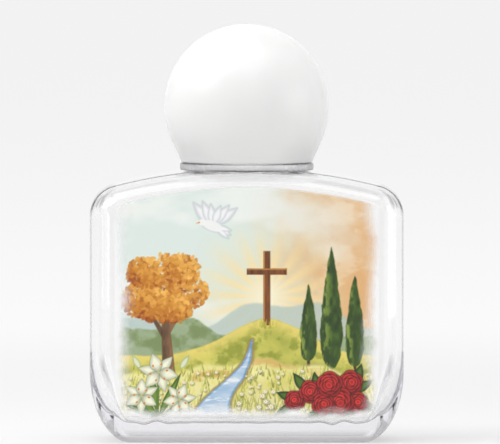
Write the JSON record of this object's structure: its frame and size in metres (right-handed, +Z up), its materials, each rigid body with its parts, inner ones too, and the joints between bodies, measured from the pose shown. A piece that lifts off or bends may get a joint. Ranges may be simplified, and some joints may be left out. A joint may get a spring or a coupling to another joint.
{
  "type": "holy water bottle",
  "caption": "Small flat clear flask with domed shoulders, a soft picture print on the front panel and a white ball screw cap, for carrying holy water.",
  "frame": {"origin": "middle of the foot, on the surface that the bottle stands on", "axes": "+Z up along the neck, +X to the right across the front panel, -Y out of the front panel"},
  "size_m": [0.055, 0.0288, 0.073],
  "materials": {
    "clear_plastic": "clear and glossy",
    "print": "soft picture in green and earth colours on clear film",
    "foam": "fine closed-cell foam",
    "inner_plastic": "plain moulded",
    "white_plastic": "smooth satin gloss"
  },
  "bodies": {
    "flask": {"bottle": "clear_plastic", "label": "print"},
    "seal": {"seal_disc": "foam"},
    "cap": {"cap_insert": "inner_plastic", "cap_shell": "white_plastic"}
  },
  "joints": [
    {"name": "cap_rise", "type": "slide", "parent": "flask", "child": "seal", "axis": [0, 0, 1], "range_m": [0, 0.0127]},
    {"name": "cap_turn", "type": "hinge", "parent": "seal", "child": "cap", "pos_m": [0, 0, 0.058], "axis": [0, 0, 1], "range_deg": [0, 1440]}
  ],
  "couplings": [
    {"joint": "cap_rise", "follows": "cap_turn", "m_per_rad": 0.000505}
  ]
}
